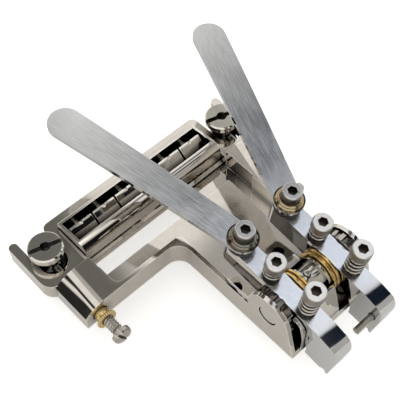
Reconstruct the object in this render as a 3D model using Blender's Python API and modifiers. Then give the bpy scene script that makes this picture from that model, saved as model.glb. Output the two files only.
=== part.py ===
"""String bender for an electric guitar: a saddle bar on two studs with two palm levers behind it.

Frame: metres, +Z up. The origin lies midway between the two stud axes, level with the
underside of the frame. +X runs along the strings away from the neck, and +Y runs across
the strings towards the far stud. The levers are shown at rest, with their handles up.
"""

import math

import bmesh
import bpy
from mathutils import Matrix, Vector

# Clearances and curve quality
FIT_GAP = 0.0003            # gap between pieces that seat on each other
RUNNING_GAP = 0.0005        # gap beside a piece that moves
OVERLAP = 0.0004            # how far joined solids run into each other
CUT_ROOM = 0.0010           # how far a cutter runs past what it cuts
ROUND_STEPS = 28            # facets round a turned piece
SMALL_STEPS = 20            # facets round a small screw or pin
FINE_STEPS = 12             # facets round the smallest bores
ARC_STEP = math.radians(15.0)
SMALL_EDGE = 0.0003         # chamfer on the smallest turned pieces

# Studs
STUD_SPACING = 0.0820
STUD_HEAD_RADIUS = 0.0062
STUD_HEAD_HEIGHT = 0.0030
STUD_HEAD_CLEARANCE = 0.0028   # from the ear's top face to the underside of the head
STUD_WAIST_RADIUS = 0.0041
STUD_FOOT_RADIUS = 0.0058
STUD_FOOT_HEIGHT = 0.0015
STUD_THREAD_RADIUS = 0.0039
STUD_THREAD_LENGTH = 0.0092
STUD_SOCKET_RADIUS = 0.0019
STUD_SOCKET_DEPTH = 0.0008     # below the floor of the slot
STUD_EDGE = 0.0005
STUD_SLOT_WIDTH = 0.0018
STUD_SLOT_DEPTH = 0.0015
STUD_SLOT_TURN = math.radians(-17.0)

# Deck of the frame: two ears that hook round the studs, and the rail that joins them
EAR_THICKNESS = 0.0070
EAR_OUTER = 0.0084          # from a stud's axis to the outer side of its ear
EAR_FRONT = 0.0121          # from a stud's axis to the tip of the outer prong
RAIL_FRONT = 0.0107         # from a stud's axis to the front of the rail
RAIL_CORNER_RADIUS = 0.0026
INNER_PRONG_WIDTH = 0.0041  # between the stud's slot and the saddle bar
EAR_REAR = 0.0120
EAR_CORNER_RADIUS = 0.0050
PRONG_TIP_RADIUS = 0.0017
SLOT_ROOM = 0.0009          # round a stud's waist in its slot
SLOT_RADIUS = STUD_WAIST_RADIUS + SLOT_ROOM
SLOT_CENTER_X = 0.0032

# Blocks behind the ears
BLOCK_REAR = 0.0277
BLOCK_WIDTH = 0.0149
BLOCK_INSET = 0.0026        # from the ear's outer side to the block's
SHOULDER_DROP = 0.0035
SHOULDER_WIDTH = 0.0085
BLOCK_CORNER_RADIUS = 0.0028

# Cross beam and the channel that carries the levers
FLOOR = 0.0020
WALL = 0.0016
RIM_HEIGHT = 0.0098          # also the height of the blocks
BEAM_FRONT = 0.0172
BEAM_CORNER_RADIUS = 0.0055
CHANNEL_CORNER_RADIUS = 0.0022
LIP_THICKNESS = 0.0014

# Axle and lugs
AXLE_X = 0.0692
AXLE_Z = 0.0126
AXLE_RADIUS = 0.0034
LUG_RADIUS = 0.0088
TAB_THICKNESS = 0.0013
TAB_HEIGHT = 0.0166
TAB_CORNER_RADIUS = 0.0048
TAB_FOOT_TURN = math.radians(58.0)   # how far round the axle each tab's hollow reaches down
SUPPORT_WIDTH = 0.0078
SUPPORT_HEIGHT = 0.0138
SUPPORT_REACH = 0.0100      # from the axle forward to the support's front face
SUPPORT_LIP = 0.0008
SUPPORT_KNEE = 0.0018       # how far the rear face leans in below its knee
SUPPORT_KNEE_HEIGHT = 0.0055
VENT_REACH = 0.0252         # from the axle forward to the front of the floor's openings
VENT_LENGTH = 0.0125
VENT_WIDTH = 0.0020

# Saddle bar: its top slopes down towards its front
BAR_HEIGHT = 0.0120
BAR_FRONT_HEIGHT = 0.0100
BAR_FRONT = 0.0062
BAR_REAR = 0.0104
BAR_FRONT_RADIUS = 0.0006
BAR_REAR_RADIUS = 0.0034
BAR_STEP_HEIGHT = 0.0024
BAR_STEP_DEPTH = 0.0012
BAR_STEP_RISE = 0.0006
BAR_STEP_EDGE = 0.0004
BAR_FOOT_RADIUS = 0.0008
BAR_END_WALL = 0.0009
POCKET_FRONT = 0.0048
POCKET_REAR = 0.0052
POCKET_FLOOR = 0.0030

# Saddles and their screws
STRING_COUNT = 6
SADDLE_GAP = 0.0007
SADDLE_FRONT = 0.0022
SADDLE_REAR = 0.0024
SADDLE_FRONT_HEIGHT = 0.0076
SADDLE_REAR_HEIGHT = 0.0071
SADDLE_RIDGE = 0.0100
SADDLE_RIDGE_X = -0.0011
SADDLE_RIDGE_HALF = 0.0004
STRING_NOTCH_RADIUS = 0.0006
STRING_NOTCH_RISE = 0.0002  # centre of the notch's round above the ridge
SADDLE_SCREW_RADIUS = 0.0011
SADDLE_SCREW_HEAD_RADIUS = 0.0020
SADDLE_SCREW_HEAD_LENGTH = 0.0010
SADDLE_SCREW_Z = 0.0053
SADDLE_SCREW_SEAT = 0.0010

# Levers, drawn about the axle with +U towards the tail and +V square to the top face
LEVER_SPACING = 0.0212
LEVER_WIDTH = 0.0072
LEVER_SIDE_ROOM = 0.0050    # from a lever's outer side to the outside of the channel's wall
LEVER_TILT = math.radians(8.0)
LEVER_TOP = 0.0064
LEVER_FRONT = 0.0267
LEVER_DEPTH = 0.0097
LEVER_NOSE_RADIUS = 0.0030
LEVER_NOSE_EDGE = 0.0008
LEVER_BOSS_RADIUS = 0.0064
LEVER_FLAT_END = 0.0160
LEVER_FACET_LENGTH = 0.0057
LEVER_FACET_TURN = math.radians(9.0)
TAIL_REAR = 0.0253
TAIL_FRONT = 0.0148
TAIL_BOTTOM = 0.0115
TAIL_EDGE = 0.0015          # upright stretch at the foot of the tail's inner face
TAIL_ROUND_END = 0.0010     # V of the end of the tail's round, below the axle
TAIL_TAPER = 0.0006
TAIL_ROOM = 0.0025          # between the channel's floor and the levers' tails
BOSS_END = math.radians(12.0)

# Brass bushes, sleeve and side bearings on the axle
BUSH_SLEEVE_WALL = 0.0010
BUSH_FLANGE_RADIUS = 0.0078
BUSH_FLANGE_THICKNESS = 0.0026
BUSH_GROOVE_DEPTH = 0.0007
SLEEVE_RADIUS = 0.0052
SLEEVE_FLANGE_RADIUS = 0.0065
SLEEVE_FLANGE_THICKNESS = 0.0009
SLEEVE_SCREW_RADIUS = 0.0011
SLEEVE_SCREW_LENGTH = 0.0028
BEARING_RADIUS = 0.0080
BEARING_FLUTE_DEPTH = 0.0007
BEARING_FLUTES = 16
FLUTE_LAND = (0.05, 0.50)   # where the land and the flute lie, as shares of one flute's turn
FLUTE_HOLLOW = (0.62, 0.93)

# Machine screws: the handle bolts and the stop screws share their head
SCREW_RADIUS = 0.00195
HEAD_RADIUS = 0.0035
HEAD_HEIGHT = 0.0040
HEAD_EDGE = 0.0004
SOCKET_RADIUS = 0.0018
SOCKET_DEPTH = 0.0021
FRONT_STOP_U = -0.0079
FRONT_STOP_LIFT = 0.0058    # from the lever's top to the underside of the head
REAR_STOP_U = 0.0077
REAR_STOP_LIFT = 0.0109
PRESS_ANGLE = math.radians(8.0)
STOP_GAP = 0.0004

# Springs under the heads of the stop screws
SPRING_WIRE_RADIUS = 0.00045
SPRING_ROOM = 0.00038       # between a spring and its screw
SPRING_PITCH = 0.0022
SPRING_POINTS = 10

# Handles and what holds them
BOLT_U = -0.0218
BOLT_GRIP = 0.0066          # length of the bolt below the lever's top face
PAD_RADIUS = 0.0047
PAD_THICKNESS = 0.0010
LOCK_WASHER_RADIUS = 0.0041
LOCK_WASHER_THICKNESS = 0.0007
LOCK_WASHER_SPLIT = 0.0007
CUP_RADIUS = 0.0053
CUP_TOP_RADIUS = 0.0040
CUP_THICKNESS = 0.0020
CUP_RIM = 0.0006
CUP_EDGE = 0.0004
HANDLE_LENGTH = 0.0785
HANDLE_THICKNESS = 0.0018
HANDLE_ROOT_RADIUS = 0.0048
HANDLE_TIP_RADIUS = 0.0061
HANDLE_FALL = math.radians(3.0)    # how far the handle's slope eases off from root to tip
HANDLE_SECTIONS = 12
NEAR_HANDLE_SWING = math.radians(11.8)
FAR_HANDLE_SWING = math.radians(22.2)

# String pins in the tails
PIN_RADIUS = 0.00125
FAR_PIN_REACH = 0.0078      # how far each pin stands out of its lever's inner side
NEAR_PIN_REACH = 0.0022
PIN_SEAT = 0.0045
PIN_U = 0.0221
PIN_V = -0.0014
TAIL_GROOVE_RADIUS = 0.0011
TAIL_GROOVE_U = 0.0228

# Position screws behind the ears, with their brass bushes
POSITION_Z = 0.0039
POSITION_BUSH_SEAT = 0.0055
POSITION_BUSH_RADIUS = 0.0027
POSITION_NECK_LENGTH = 0.0026
POSITION_COLLAR_RADIUS = 0.0037
POSITION_COLLAR_LENGTH = 0.0013
POSITION_STAND_OFF = 0.0062   # from the brass bush to the screw's head
POSITION_SCREW_RADIUS = 0.0018
POSITION_HEAD_RADIUS = 0.0034
POSITION_HEAD_LENGTH = 0.0026
POSITION_HEAD_DOME = 0.0012
POSITION_SLOT_WIDTH = 0.0010
POSITION_SLOT_DEPTH = 0.0011
POSITION_SLOT_TURN = math.radians(30.0)

# Places that follow from the sizes above
STUD_Y = STUD_SPACING / 2
BAR_END_Y = STUD_Y - SLOT_RADIUS - INNER_PRONG_WIDTH - FIT_GAP
STRING_PITCH = 2 * (BAR_END_Y - BAR_END_WALL - FIT_GAP) / STRING_COUNT
BLOCK_OUTER_Y = STUD_Y + EAR_OUTER - BLOCK_INSET
BLOCK_INNER_Y = BLOCK_OUTER_Y - BLOCK_WIDTH
CHANNEL_HALF = LEVER_SPACING / 2 + LEVER_WIDTH / 2 + LEVER_SIDE_ROOM
FAR_WALL_Y = BLOCK_INNER_Y + WALL / 2
LEVER_CENTER_Y = FAR_WALL_Y - CHANNEL_HALF
NEAR_WALL_Y = LEVER_CENTER_Y - CHANNEL_HALF
CHANNEL_REAR = AXLE_X + TAIL_FRONT - TAIL_ROOM
SPRING_COIL_RADIUS = SCREW_RADIUS + SPRING_ROOM + SPRING_WIRE_RADIUS
SHANK_CLEARANCE = SCREW_RADIUS + FIT_GAP
AXLE_BORE = AXLE_RADIUS + FIT_GAP
BUSH_RADIUS = AXLE_BORE + BUSH_SLEEVE_WALL
TOLERANCE = 1e-6
GRID_DIGITS = 7


def make_collection(name, hidden=False):
    collection = bpy.data.collections.new(name)
    bpy.context.scene.collection.children.link(collection)
    collection.hide_render = hidden
    return collection


def make_material(name, color, roughness, metallic):
    material = bpy.data.materials.new(name)
    material.use_nodes = True
    shader = material.node_tree.nodes["Principled BSDF"]
    shader.inputs["Base Color"].default_value = (*color, 1.0)
    shader.inputs["Roughness"].default_value = roughness
    shader.inputs["Metallic"].default_value = metallic
    material.diffuse_color = (*color, 1.0)
    return material


def arc(center, radius, start, end):
    """Points on an arc from one angle to another, both ends included."""
    count = max(2, math.ceil(abs(end - start) / ARC_STEP))
    angles = [start + (end - start) * step / count for step in range(count + 1)]
    return [(center[0] + radius * math.cos(a), center[1] + radius * math.sin(a)) for a in angles]


def circle(center, radius, steps=SMALL_STEPS):
    turns = [2 * math.pi * step / steps for step in range(steps)]
    return [(center[0] + radius * math.cos(a), center[1] + radius * math.sin(a)) for a in turns]


def rounded(corners):
    """An outline from (x, y, radius) corners, each rounded by its own radius."""
    points = []
    for index, (x, y, radius) in enumerate(corners):
        corner = Vector((x, y))
        before = Vector(corners[index - 1][:2]) - corner
        after = Vector(corners[(index + 1) % len(corners)][:2]) - corner
        if radius <= 0.0:
            points.append((x, y))
            continue
        half = before.angle(after) / 2
        reach = min(radius / math.tan(half), 0.49 * before.length, 0.49 * after.length)
        radius = reach * math.tan(half)
        center = corner + (before.normalized() + after.normalized()).normalized() * radius / math.sin(half)
        start = corner + before.normalized() * reach - center
        end = corner + after.normalized() * reach - center
        first = math.atan2(start.y, start.x)
        sweep = math.atan2(start.x * end.y - start.y * end.x, start.dot(end))
        points += arc(center, radius, first, first + sweep)
    return points


def add_object(name, mesh, collection, material=None):
    item = bpy.data.objects.new(name, mesh)
    collection.objects.link(item)
    if material:
        mesh.materials.append(material)
    return item


def as_cutter(item):
    for collection in list(item.users_collection):
        collection.objects.unlink(item)
    cutters.objects.link(item)
    item.hide_render = True
    item.display_type = "WIRE"
    return item


def shade(item):
    item.data.shade_smooth()
    item.data.set_sharp_from_angle(angle=math.radians(35.0))
    return item


def plate(name, outlines, low, high, material, plane="XY"):
    """A flat outline with its holes, extruded from low to high along the third axis."""
    curve = bpy.data.curves.new(name, "CURVE")
    curve.dimensions = "2D"
    curve.fill_mode = "BOTH"
    curve.extrude = (high - low) / 2
    for outline in outlines:
        spline = curve.splines.new("POLY")
        spline.points.add(len(outline) - 1)
        for point, (x, y) in zip(spline.points, outline):
            point.co = (x, y, 0.0, 1.0)
        spline.use_cyclic_u = True
    guide = add_object(name + "_outline", curve, parts)
    bpy.context.view_layer.update()
    evaluated = guide.evaluated_get(bpy.context.evaluated_depsgraph_get())
    mesh = bpy.data.meshes.new_from_object(evaluated)
    bpy.data.objects.remove(guide)
    middle = (low + high) / 2
    if plane == "XY":
        move = Matrix.Translation((0.0, 0.0, middle))
    elif plane == "XZ":
        move = Matrix.Translation((0.0, middle, 0.0)) @ Matrix.Rotation(math.pi / 2, 4, "X")
    else:
        turn = Matrix(((0, 0, 1, 0), (1, 0, 0, 0), (0, 1, 0, 0), (0, 0, 0, 1)))
        move = Matrix.Translation((middle, 0.0, 0.0)) @ turn
    mesh.transform(move)
    mesh.materials.clear()
    weld(mesh)
    snap(mesh)
    mesh.name = name
    return shade(add_object(name, mesh, parts, material))


def snap(mesh):
    """Puts every corner on a fine grid, so that faces meant to be level are level."""
    for vertex in mesh.vertices:
        vertex.co = [round(value, GRID_DIGITS) for value in vertex.co]


def weld(mesh):
    shape = bmesh.new()
    shape.from_mesh(mesh)
    bmesh.ops.remove_doubles(shape, verts=shape.verts, dist=TOLERANCE)
    bmesh.ops.recalc_face_normals(shape, faces=shape.faces)
    shape.to_mesh(mesh)
    shape.free()


def turned(name, profile, material, matrix=None, ring=False, steps=ROUND_STEPS):
    """A profile of (radius, height) points, top to bottom on its outer side, spun about Z."""
    mesh = bpy.data.meshes.new(name)
    points = [(radius, 0.0, height) for radius, height in profile]
    edges = [(i, i + 1) for i in range(len(points) - 1)]
    if ring:
        edges.append((len(points) - 1, 0))
    mesh.from_pydata(points, edges, [])
    item = add_object(name, mesh, parts, material)
    screw = item.modifiers.new("Turn", "SCREW")
    screw.axis = "Z"
    screw.steps = steps
    screw.render_steps = steps
    screw.use_merge_vertices = True
    screw.merge_threshold = TOLERANCE
    screw.use_smooth_shade = True
    bake(item)
    if matrix:
        item.data.transform(matrix)
    return shade(item)


def bake(item):
    """Replaces an object's mesh by what its modifiers make of it."""
    bpy.context.view_layer.update()
    evaluated = item.evaluated_get(bpy.context.evaluated_depsgraph_get())
    mesh = bpy.data.meshes.new_from_object(evaluated)
    mesh.name = item.name
    item.modifiers.clear()
    item.data = mesh
    weld(mesh)
    return item


def combine(item, other, operation):
    modifier = item.modifiers.new(operation.title() + "_" + other.name, "BOOLEAN")
    modifier.operation = operation
    modifier.solver = "EXACT"
    modifier.object = as_cutter(other)
    return item


def cut(item, *others):
    for other in others:
        combine(item, other, "DIFFERENCE")
    return item


def unite(item, *others):
    for other in others:
        combine(item, other, "UNION")
    return item


def rod(name, radius, start, end, material=None, steps=SMALL_STEPS):
    """A round bar between two points."""
    start = Vector(start)
    along = Vector(end) - start
    shape = bmesh.new()
    bmesh.ops.create_cone(
        shape, cap_ends=True, segments=steps, radius1=radius, radius2=radius, depth=along.length)
    mesh = bpy.data.meshes.new(name)
    shape.to_mesh(mesh)
    shape.free()
    turn = along.to_track_quat("Z", "Y").to_matrix().to_4x4()
    mesh.transform(Matrix.Translation(start + along / 2) @ turn)
    return shade(add_object(name, mesh, parts, material))


def block(name, low, high, material=None):
    """A box between two opposite corners."""
    low = Vector(low)
    high = Vector(high)
    shape = bmesh.new()
    bmesh.ops.create_cube(shape, size=1.0)
    mesh = bpy.data.meshes.new(name)
    shape.to_mesh(mesh)
    shape.free()
    size = high - low
    mesh.transform(Matrix.Translation((low + high) / 2) @ Matrix.Diagonal((*size, 1.0)))
    snap(mesh)
    return add_object(name, mesh, parts, material)


def set_origin(item, point):
    """Moves an object's origin to a point without moving its shape."""
    item.data.transform(Matrix.Translation(-Vector(point)))
    item.location = point


def mirror_over_levers(low, high):
    return 2 * LEVER_CENTER_Y - high, 2 * LEVER_CENTER_Y - low


def lever_matrix(y):
    """From lever axes (U, Y, V), drawn about the axle, to the world."""
    return Matrix.Translation((AXLE_X, y, AXLE_Z)) @ Matrix.Rotation(LEVER_TILT, 4, "Y")


def deck_outline():
    """The deck from above: an ear round each stud's slot, joined by the rail in front of the bar."""
    outer = -STUD_Y - EAR_OUTER
    inner = -BAR_END_Y - FIT_GAP
    tip = PRONG_TIP_RADIUS
    slot = arc((SLOT_CENTER_X, -STUD_Y), SLOT_RADIUS, -math.pi / 2, math.pi / 2)
    near = [
        (-BAR_FRONT - FIT_GAP, inner, 0.0),
        (EAR_REAR, inner, 0.0),
        (EAR_REAR, outer, EAR_CORNER_RADIUS),
        (-EAR_FRONT, outer, tip),
        (-EAR_FRONT, -STUD_Y - SLOT_RADIUS, tip),
        *[(x, y, 0.0) for x, y in slot],
        (-RAIL_FRONT, -STUD_Y + SLOT_RADIUS, RAIL_CORNER_RADIUS),
    ]
    far = [(x, -y, radius) for x, y, radius in reversed(near)]
    return rounded(near + far)


def floor_outline():
    """The beam and the channel's floor from above, with a rounded inside corner."""
    side = BLOCK_INNER_Y + OVERLAP
    corner = arc((BLOCK_REAR + BEAM_CORNER_RADIUS, NEAR_WALL_Y - BEAM_CORNER_RADIUS),
                 BEAM_CORNER_RADIUS, math.pi, math.pi / 2)
    return [
        (BEAM_FRONT, -side),
        (BLOCK_REAR, -side),
        *corner,
        (CHANNEL_REAR, NEAR_WALL_Y),
        (CHANNEL_REAR, FAR_WALL_Y),
        (BLOCK_REAR - OVERLAP, FAR_WALL_Y),
        (BLOCK_REAR - OVERLAP, side),
        (BEAM_FRONT, side),
    ]


def hollow_outline():
    """What is taken out above the floor: the space inside the rim and the two side walls."""
    side = BLOCK_INNER_Y
    inner_x = BLOCK_REAR - WALL
    inner_y = NEAR_WALL_Y + WALL
    front = BEAM_FRONT - CUT_ROOM
    rear = CHANNEL_REAR + CUT_ROOM
    far_y = FAR_WALL_Y - WALL
    return rounded([
        (front, -side, 0.0),
        (inner_x, -side, BLOCK_CORNER_RADIUS),
        (inner_x, inner_y, CHANNEL_CORNER_RADIUS),
        (rear, inner_y, 0.0),
        (rear, far_y, 0.0),
        (inner_x, far_y, 0.0),
        (inner_x, side, 0.0),
        (front, side, 0.0),
    ])


def block_outline():
    """The block behind the near ear, seen along the strings, with its rounded shoulder."""
    half_turn = math.atan2(SHOULDER_DROP, SHOULDER_WIDTH)
    radius = SHOULDER_WIDTH / math.sin(2 * half_turn)
    center = (-BLOCK_OUTER_Y + SHOULDER_WIDTH, RIM_HEIGHT - radius)
    shoulder = arc(center, radius, math.pi / 2, math.pi / 2 + 2 * half_turn)
    inner = -BLOCK_INNER_Y - OVERLAP / 2
    return [(-BLOCK_OUTER_Y, 0.0), (inner, 0.0), (inner, RIM_HEIGHT), *shoulder]


def side_cut_outline():
    """What is taken off from the side: above the rim, round the lugs and behind their slope."""
    center = Vector((AXLE_X, AXLE_Z))
    foot = Vector((CHANNEL_REAR, 0.0))
    reach = foot - center
    touch = math.atan2(reach.y, reach.x) + math.acos(LUG_RADIUS / reach.length)
    start = math.pi - math.asin((RIM_HEIGHT - AXLE_Z) / LUG_RADIUS)
    hump = arc(center, LUG_RADIUS, start, touch)
    beyond = foot + (foot - Vector(hump[-1])).normalized() * CUT_ROOM
    high = AXLE_Z + LUG_RADIUS + 2 * CUT_ROOM
    return [
        (BEAM_FRONT - CUT_ROOM, RIM_HEIGHT),
        *hump,
        (beyond.x, beyond.y),
        (CHANNEL_REAR + 2 * CUT_ROOM, beyond.y),
        (CHANNEL_REAR + 2 * CUT_ROOM, high),
        (BEAM_FRONT - CUT_ROOM, high),
    ]


def tab_outline():
    """The inner tab behind each side bearing, hollowed round the axle."""
    hollow = BEARING_RADIUS + RUNNING_GAP
    top_angle = math.asin((TAB_HEIGHT - AXLE_Z) / hollow)
    front = arc((AXLE_X, AXLE_Z), hollow, top_angle, -TAB_FOOT_TURN)
    corner = arc((CHANNEL_REAR - TAB_CORNER_RADIUS, TAB_HEIGHT - TAB_CORNER_RADIUS),
                 TAB_CORNER_RADIUS, 0.0, math.pi / 2)
    foot = FLOOR - OVERLAP
    return [*front, (front[-1][0], foot), (CHANNEL_REAR, foot), *corner]


def support_outline():
    """The middle support: a cradle round the sleeve with a sloping rear face."""
    hollow = SLEEVE_FLANGE_RADIUS + RUNNING_GAP
    rise = math.asin((SUPPORT_HEIGHT - AXLE_Z) / hollow)
    cradle = arc((AXLE_X, AXLE_Z), hollow, math.pi, 2 * math.pi + rise)
    foot = FLOOR - OVERLAP
    front = AXLE_X - SUPPORT_REACH
    rear = CHANNEL_REAR - CUT_ROOM
    return [
        (front, foot),
        (rear, foot),
        (rear, FLOOR),
        (CHANNEL_REAR - SUPPORT_KNEE, SUPPORT_KNEE_HEIGHT),
        (AXLE_X + hollow + SUPPORT_LIP, SUPPORT_HEIGHT),
        *reversed(cradle),
        (front, AXLE_Z),
    ]


def make_frame():
    """Ears, blocks, beam, channel, lugs and supports: one nickel-plated casting."""
    lug_top = AXLE_Z + LUG_RADIUS
    frame = plate("mounting_frame", [floor_outline()], 0.0, lug_top + OVERLAP, nickel)
    side = BLOCK_INNER_Y + 2 * CUT_ROOM
    cut(frame, plate("side_cut", [side_cut_outline()], -side, side, None, "XZ"))
    cut(frame, rod("axle_bore", AXLE_BORE, (AXLE_X, NEAR_WALL_Y - CUT_ROOM, AXLE_Z),
                   (AXLE_X, FAR_WALL_Y + CUT_ROOM, AXLE_Z), steps=ROUND_STEPS))
    near_block = block_outline()
    far_block = [(-y, z) for y, z in reversed(near_block)]
    for name, outline in (("near_block", near_block), ("far_block", far_block)):
        unite(frame, plate(name, [outline], EAR_REAR - OVERLAP, BLOCK_REAR, None, "YZ"))
    unite(frame, plate("deck", [deck_outline()], 0.0, EAR_THICKNESS, None))
    cut(frame, plate("hollow", [hollow_outline()], FLOOR, lug_top + CUT_ROOM, None))
    tab_high = LEVER_CENTER_Y - LEVER_SPACING / 2 - LEVER_WIDTH / 2 - FIT_GAP
    near_tab = (tab_high - TAB_THICKNESS, tab_high)
    for name, (low, high) in (("near_tab", near_tab), ("far_tab", mirror_over_levers(*near_tab))):
        unite(frame, plate(name, [tab_outline()], low, high, None, "XZ"))
    half = SUPPORT_WIDTH / 2
    unite(frame, plate("support", [support_outline()], LEVER_CENTER_Y - half, LEVER_CENTER_Y + half,
                       None, "XZ"))
    lip = block("lip", (BAR_REAR + FIT_GAP, LEVER_CENTER_Y, 0.0),
                (BEAM_FRONT + OVERLAP, BLOCK_INNER_Y + OVERLAP, LIP_THICKNESS))
    unite(frame, lip)
    vent_low = tab_high - VENT_WIDTH
    vents = ((vent_low, tab_high), mirror_over_levers(vent_low, tab_high))
    for index, (low, high) in enumerate(vents):
        cut(frame, block("vent_%d" % index, (AXLE_X - VENT_REACH, low, -OVERLAP),
                         (AXLE_X - VENT_REACH + VENT_LENGTH, high, FLOOR + OVERLAP)))
    for side, y in (("near", -STUD_Y), ("far", STUD_Y)):
        cut(frame, rod(side + "_screw_bore", POSITION_SCREW_RADIUS + FIT_GAP,
                       (SLOT_CENTER_X + SLOT_RADIUS / 2, y, POSITION_Z),
                       (BLOCK_REAR + OVERLAP, y, POSITION_Z)))
        cut(frame, rod(side + "_bush_bore", POSITION_BUSH_RADIUS + FIT_GAP,
                       (BLOCK_REAR - POSITION_BUSH_SEAT - FIT_GAP, y, POSITION_Z),
                       (BLOCK_REAR + OVERLAP, y, POSITION_Z)))
    return shade(bake(frame))


def bar_outline():
    """The saddle bar seen from its near end: upright front, round rear edge and rear step."""
    shelf = BAR_REAR - BAR_STEP_DEPTH
    return rounded([
        (-BAR_FRONT, 0.0, BAR_FOOT_RADIUS),
        (BAR_REAR, 0.0, 0.0),
        (BAR_REAR, BAR_STEP_HEIGHT, BAR_STEP_EDGE),
        (shelf, BAR_STEP_HEIGHT + BAR_STEP_RISE, 0.0),
        (shelf, BAR_HEIGHT, BAR_REAR_RADIUS),
        (-BAR_FRONT, BAR_FRONT_HEIGHT, BAR_FRONT_RADIUS),
    ])


def saddle_positions():
    return [(index - (STRING_COUNT - 1) / 2) * STRING_PITCH for index in range(STRING_COUNT)]


def make_bar():
    bar = plate("saddle_bar", [bar_outline()], -BAR_END_Y, BAR_END_Y, nickel, "XZ")
    inside = BAR_END_Y - BAR_END_WALL
    cut(bar, block("pocket", (-POCKET_FRONT, -inside, POCKET_FLOOR),
                   (POCKET_REAR, inside, BAR_HEIGHT + OVERLAP)))
    for index, y in enumerate(saddle_positions()):
        cut(bar, rod("screw_seat_%d" % index, SADDLE_SCREW_RADIUS + FIT_GAP,
                     (-POCKET_FRONT - SADDLE_SCREW_SEAT, y, SADDLE_SCREW_Z),
                     (-POCKET_FRONT + OVERLAP, y, SADDLE_SCREW_Z), steps=FINE_STEPS))
    return shade(bake(bar))


def make_saddle(index, y):
    """A saddle: a block with a notched roof-shaped ridge and a tunnel for its screw."""
    half = (STRING_PITCH - SADDLE_GAP) / 2
    foot = POCKET_FLOOR + FIT_GAP
    outline = [
        (-SADDLE_FRONT, foot),
        (SADDLE_REAR, foot),
        (SADDLE_REAR, SADDLE_REAR_HEIGHT),
        (SADDLE_RIDGE_X + SADDLE_RIDGE_HALF, SADDLE_RIDGE),
        (SADDLE_RIDGE_X - SADDLE_RIDGE_HALF, SADDLE_RIDGE),
        (-SADDLE_FRONT, SADDLE_FRONT_HEIGHT),
    ]
    saddle = plate("saddle_%d" % (index + 1), [outline], y - half, y + half, steel, "XZ")
    tunnel = rod("saddle_tunnel_%d" % index, SADDLE_SCREW_RADIUS + FIT_GAP,
                 (-SADDLE_FRONT - OVERLAP, y, SADDLE_SCREW_Z),
                 (SADDLE_REAR + OVERLAP, y, SADDLE_SCREW_Z), steps=FINE_STEPS)
    notch_z = SADDLE_RIDGE + STRING_NOTCH_RISE
    notch = rod("string_notch_%d" % index, STRING_NOTCH_RADIUS,
                (-SADDLE_FRONT - OVERLAP, y, notch_z),
                (SADDLE_REAR + OVERLAP, y, notch_z), steps=FINE_STEPS)
    cut(saddle, tunnel)
    cut(saddle, notch)
    bake(saddle)
    set_origin(saddle, (SADDLE_RIDGE_X, y, SADDLE_SCREW_Z))
    return saddle


def make_saddle_screw(index, y):
    """The screw along a string that sets its saddle, its head against the pocket's rear wall."""
    rear = POCKET_REAR - FIT_GAP
    front = -POCKET_FRONT - SADDLE_SCREW_SEAT + FIT_GAP
    head = SADDLE_SCREW_HEAD_RADIUS
    seat = rear - SADDLE_SCREW_HEAD_LENGTH
    profile = [(0.0, rear), (head - SMALL_EDGE, rear), (head, rear - SMALL_EDGE), (head, seat),
               (SADDLE_SCREW_RADIUS, seat), (SADDLE_SCREW_RADIUS, front), (0.0, front)]
    along = Matrix.Rotation(math.pi / 2, 4, "Y")
    screw = turned("saddle_screw_%d" % (index + 1), profile, steel, along, steps=FINE_STEPS)
    screw.location = (0.0, y, SADDLE_SCREW_Z)
    return screw


def make_stud(side, y):
    """A slotted bridge stud: head, waist in the ear's slot, foot and threaded end."""
    top = EAR_THICKNESS + STUD_HEAD_CLEARANCE + STUD_HEAD_HEIGHT
    under = top - STUD_HEAD_HEIGHT
    edge = STUD_EDGE
    foot = -FIT_GAP - STUD_FOOT_HEIGHT
    end = foot - STUD_THREAD_LENGTH
    profile = [
        (0.0, top),
        (STUD_HEAD_RADIUS - edge, top),
        (STUD_HEAD_RADIUS, top - edge),
        (STUD_HEAD_RADIUS, under + edge),
        (STUD_HEAD_RADIUS - edge, under),
        (STUD_WAIST_RADIUS, under - STUD_HEAD_CLEARANCE / 2),
        (STUD_WAIST_RADIUS, -FIT_GAP),
        (STUD_FOOT_RADIUS, -FIT_GAP),
        (STUD_FOOT_RADIUS, foot),
        (STUD_THREAD_RADIUS, foot),
        (STUD_THREAD_RADIUS, end + edge),
        (STUD_THREAD_RADIUS - edge, end),
        (0.0, end),
    ]
    stud = turned("stud_" + side, profile, steel, Matrix.Translation((0.0, y, 0.0)))
    slot = block("stud_slot_" + side, (-STUD_SLOT_WIDTH / 2, -2 * STUD_HEAD_RADIUS, -STUD_SLOT_DEPTH),
                 (STUD_SLOT_WIDTH / 2, 2 * STUD_HEAD_RADIUS, STUD_SLOT_DEPTH))
    slot.data.transform(Matrix.Translation((0.0, y, top)) @ Matrix.Rotation(STUD_SLOT_TURN, 4, "Z"))
    socket = rod("stud_socket_" + side, STUD_SOCKET_RADIUS,
                 (0.0, y, top - STUD_SLOT_DEPTH - STUD_SOCKET_DEPTH), (0.0, y, top + OVERLAP),
                 steps=SMALL_STEPS)
    return shade(bake(cut(stud, slot, socket)))


def position_matrix(y):
    """Turned pieces behind the ears: their local Z runs along world X."""
    return Matrix.Translation((BLOCK_REAR, y, POSITION_Z)) @ Matrix.Rotation(math.pi / 2, 4, "Y")


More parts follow.
